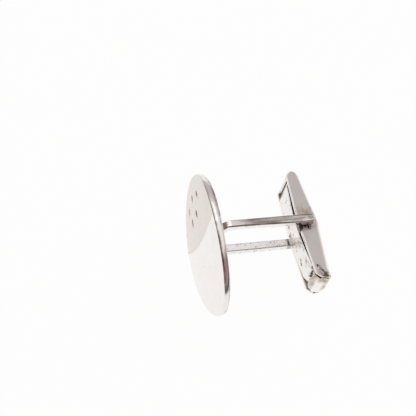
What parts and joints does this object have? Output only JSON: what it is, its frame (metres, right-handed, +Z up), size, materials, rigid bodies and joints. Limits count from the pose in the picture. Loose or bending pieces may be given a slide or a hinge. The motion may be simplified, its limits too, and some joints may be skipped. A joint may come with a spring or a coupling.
{
  "type": "cufflink",
  "caption": "Oval domed silver cufflink on a U-shaped strip bridge, with a hinged box toggle that swivels in line to pass a cuff's buttonholes and crosswise to hold it.",
  "frame": {"origin": "on the table, straight below the middle of the link's bounding box", "axes": "+Z up from the table the link lies on; +X from the face plate towards the toggle, level with the table; +Y along the toggle when it is crosswise"},
  "size_m": [0.0176, 0.0197, 0.0144],
  "materials": {
    "polished_silver": "polished silver with fine handling scratches",
    "strip_silver": "bright drawn strip, slightly tarnished in the corners",
    "sheet_silver": "satin rolled silver sheet",
    "spring_silver": "pale scuffed spring strip",
    "inner_metal": "plain, hidden inside the toggle"
  },
  "bodies": {
    "link": {"face_plate": "polished_silver", "bridge": "strip_silver", "hinge_pin": "strip_silver", "detent_cam": "inner_metal"},
    "toggle": {"toggle_shell": "sheet_silver", "leaf_spring": "spring_silver"}
  },
  "joints": [
    {"name": "toggle_swivel", "type": "hinge", "parent": "link", "child": "toggle", "pos_m": [0.00663, 0.001, 0.00367], "axis": [0.194, 0, 0.981], "range_deg": [-90, 90], "deforming": ["leaf_spring"]}
  ]
}
